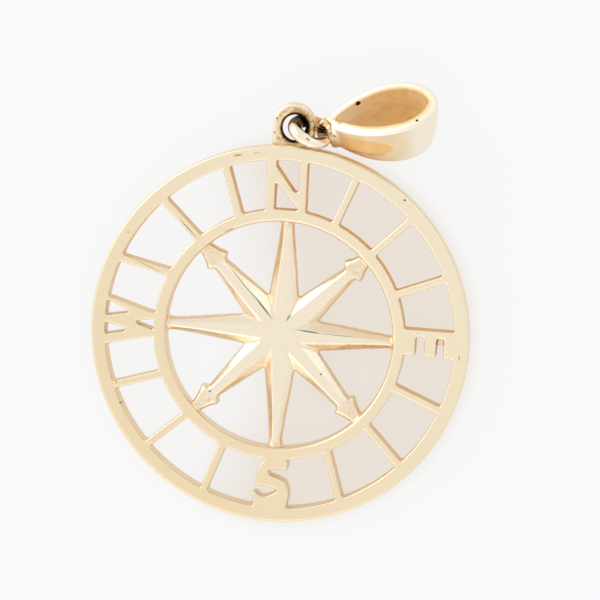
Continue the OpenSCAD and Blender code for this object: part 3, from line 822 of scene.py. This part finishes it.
def discGold():
    # 14 carat yellow gold, cast, its face rubbed to a fine satin and its rose polished: the face is an even
    # cream that blurs all it mirrors, the rose has soft sharp-edged flashes, and the walls keep the darker
    # skin of the casting, deepened by painted shade to the north-east and under the bail
    material, tree, place, shader = startMaterial("satinCastGold")
    rose = attribute(tree, "rose")
    onDisc = addNode(tree, "ShaderNodeMapping", None, Vector=place,
                     Rotation=(math.radians(-pose["discLean"]), 0, 0), Scale=(1000, 1000, 1000)).outputs[0]
    parts = addNode(tree, "ShaderNodeSeparateXYZ", None, Vector=onDisc)
    eastAndNorth = mathNode(tree, "ADD", parts.outputs[0], parts.outputs[1])
    southWest = addNode(tree, "ShaderNodeMapRange", None, i0=eastAndNorth, i1=14.0, i2=-16.0).outputs[0]
    face = mixColours(tree, southWest, linear("#F1E4C9"), linear("#EDD9B6"))
    face = mixColours(tree, rose, face, linear("#F4E8D2"))
    grain = spread(tree, noise(tree, place, 0.11, 2, 0.8), 0.35, 0.7)
    face = mixColours(tree, mathNode(tree, "MULTIPLY", grain, 0.16), face, linear("#D9BE92"))
    stainAndShade = mathNode(tree, "MAXIMUM", attribute(tree, "stainAndShade"), markNodes(tree, onDisc, marks))
    colour, warmShare, brown = paintTarnishAndShade(tree, place, face, attribute(tree, "warm"), stainAndShade, "#E2B064")
    colour = mixColours(tree, markNodes(tree, onDisc, greenLines), colour, linear("#3F7A52"))
    rough = addNode(tree, "ShaderNodeMapRange", None, Value=rose, i3=0.36, i4=0.2).outputs[0]
    goldSurface(tree, place, shader, (colour, warmShare, brown), warmShare, rough, (0.09, 0.004), (1.1, 0.01))
    return material


def ringGold():
    # Round gold wire, polished bright where it is worn, and darker where it hides in the loop: tarnish and
    # painted shade
    material, tree, place, shader = startMaterial("polishedWireGold")
    layers = paintTarnishAndShade(tree, place, linear("#F5E8D4"), attribute(tree, "warm"), attribute(tree, "stainAndShade"),
                   "#DDAA62")
    goldSurface(tree, place, shader, layers, layers[1], 0.2, (0.12, 0.004), (0.9, 0.02))
    return material


def bailGold():
    # Polished gold band, cream outside and a deeper gold inside, where its rough skin is left and it mirrors
    # itself
    material, tree, place, shader = startMaterial("polishedBandGold")
    inner = attribute(tree, "inside")
    patches = spread(tree, noise(tree, place, 0.8, 3, 0.6), 0.35, 0.65)
    mottle = mixColours(tree, patches, linear("#F4D6A2"), linear("#ECC88C"))
    face = mixColours(tree, inner, linear("#F7ECD9"), mottle)
    layers = paintTarnishAndShade(tree, place, face, attribute(tree, "warm"), attribute(tree, "stainAndShade"), "#F0C070")
    rough = addNode(tree, "ShaderNodeMapRange", None, Value=inner, i3=0.36, i4=0.5).outputs[0]
    rawSkin = mathNode(tree, "MAXIMUM", inner, layers[1])
    goldSurface(tree, place, shader, layers, rawSkin, rough, (0.1, 0.004), (1.0, 0.012))
    return material


for piece, node, slotName, material in ((compassDisc, "compass_disc", "disc_gold", discGold()),
                                        (jumpRing, "jump_ring", "link_gold", ringGold()),
                                        (bailPiece, "bail", "bail_gold", bailGold())):
    piece.data.materials.append(material)
    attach(piece, "root")
    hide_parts(node)
print("materials ready")

# Floor, light and camera. The floor's sizes in mm: half its side, the places east of the middle where the
# warm cast starts and is full, and the distances from the middle where it starts to fade and is gone.
# Outwards is the share of that distance that counts as east too.
floorLook = {"halfSide": 600, "warmFrom": -2.8, "warmTo": 4.2, "outwards": 0.35, "fadeFrom": 11.5,
             "fadeTo": 13.5, "colour": "#545454", "cast": "#F2E9DF", "glow": 0.84}
lowest = cadBounds[0][2]


def makeFloor():
    # A pale sheet that glows, as one lit through does, and takes a warm cast from the gold in the gaps east
    # of the middle
    side = floorLook["halfSide"] * mm
    corners = np.array([(-side, -side, lowest), (side, -side, lowest),
                        (side, side, lowest), (-side, side, lowest)])
    floor = makePiece("floor", corners, np.array([[0, 1, 2, 3]]))
    material, tree, place, shader = startMaterial("paleMattFloor")
    away = addNode(tree, "ShaderNodeVectorMath", {"operation": "LENGTH"}, i0=place).outputs["Value"]
    east = addNode(tree, "ShaderNodeSeparateXYZ", None, Vector=place).outputs[0]
    eastward = mathNode(tree, "ADD", east, mathNode(tree, "MULTIPLY", away, floorLook["outwards"]))
    warmth = spread(tree, eastward, floorLook["warmFrom"] * mm, floorLook["warmTo"] * mm)
    fade = spread(tree, away, floorLook["fadeTo"] * mm, floorLook["fadeFrom"] * mm)
    warmth = mathNode(tree, "MULTIPLY", warmth, fade)
    glowColour = mixColours(tree, warmth, (1, 1, 1, 1), linear(floorLook["cast"]))
    tree.links.new(glowColour, shader.inputs["Emission Color"])
    for socket, value in (("Metallic", 0.0), ("Base Color", linear(floorLook["colour"])), ("Roughness", 0.9),
                          ("Specular IOR Level", 0.2), ("Emission Strength", floorLook["glow"])):
        shader.inputs[socket].default_value = value
    floor.data.materials.append(material)


makeFloor()


# Room light. Each glow is a bright part of the room: where it is, seen from the pendant (clockwise from
# north, and above the floor, in degrees), how wide it spreads, and how much light it adds to the even light
# of the room.
room = {"even": 1.0, "glows": [(303, 16, 34, 1.6), (40, 30, 25, 0.25), (0, 20, 25, -0.1),
                               (200, 2, 60, 0.45), (262, 5, 30, 0.25)]}


def makeWorld():
    world = bpy.data.worlds.new("softRoom")
    bpy.context.scene.world = world
    world.use_nodes = True
    tree = world.node_tree
    background = tree.nodes["Background"]
    way = addNode(tree, "ShaderNodeTexCoord").outputs["Generated"]
    total = room["even"]
    for turn, rise, width, extra in room["glows"]:
        a, b = math.radians(turn), math.radians(rise)
        centre = (math.sin(a) * math.cos(b), math.cos(a) * math.cos(b), math.sin(b))
        near = addNode(tree, "ShaderNodeVectorMath", {"operation": "DOT_PRODUCT"}, i0=way,
                       i1=centre).outputs["Value"]
        glow = addNode(tree, "ShaderNodeMapRange", {"interpolation_type": "SMOOTHSTEP"}, i0=near,
                       i1=math.cos(math.radians(width)), i2=1.0, i3=0.0, i4=extra).outputs[0]
        total = addNode(tree, "ShaderNodeMath", {"operation": "ADD"}, i0=total, i1=glow).outputs[0]
    tree.links.new(total, background.inputs["Strength"])
    background.inputs["Color"].default_value = (1, 1, 1, 1)


makeWorld()


# Camera: its place in mm and its axes on the disc's own frame, found from the photograph, 180 mm lens on a
# 36 mm sensor. It sees from clip's first distance to its second, in metres.
view = {"at": (25.585, 33.712, 193.135), "lens": 180, "sensor": 36, "clip": (0.01, 10),
        "right": (0.98935, 0.05607, -0.13429), "up": (-0.07632, 0.98562, -0.15075),
        "back": (0.12391, 0.15940, 0.97941)}


def makeCamera():
    data = bpy.data.cameras.new("photoCamera")
    data.lens, data.sensor_width = view["lens"], view["sensor"]
    data.clip_start, data.clip_end = view["clip"]
    camera = bpy.data.objects.new("photoCamera", data)
    bpy.context.scene.collection.objects.link(camera)
    axes = [discTurn @ np.array(view[key]) for key in ("right", "up", "back")]
    place = discTurn @ np.array(view["at"]) * mm
    camera.matrix_world = Matrix([(*row, p) for row, p in zip(np.stack(axes, 1), place)] + [(0, 0, 0, 1)])
    bpy.context.scene.camera = camera


makeCamera()
bpy.context.scene.view_settings.view_transform = "Standard"
bpy.context.scene.view_settings.look = "None"
print("floor, light and camera ready")
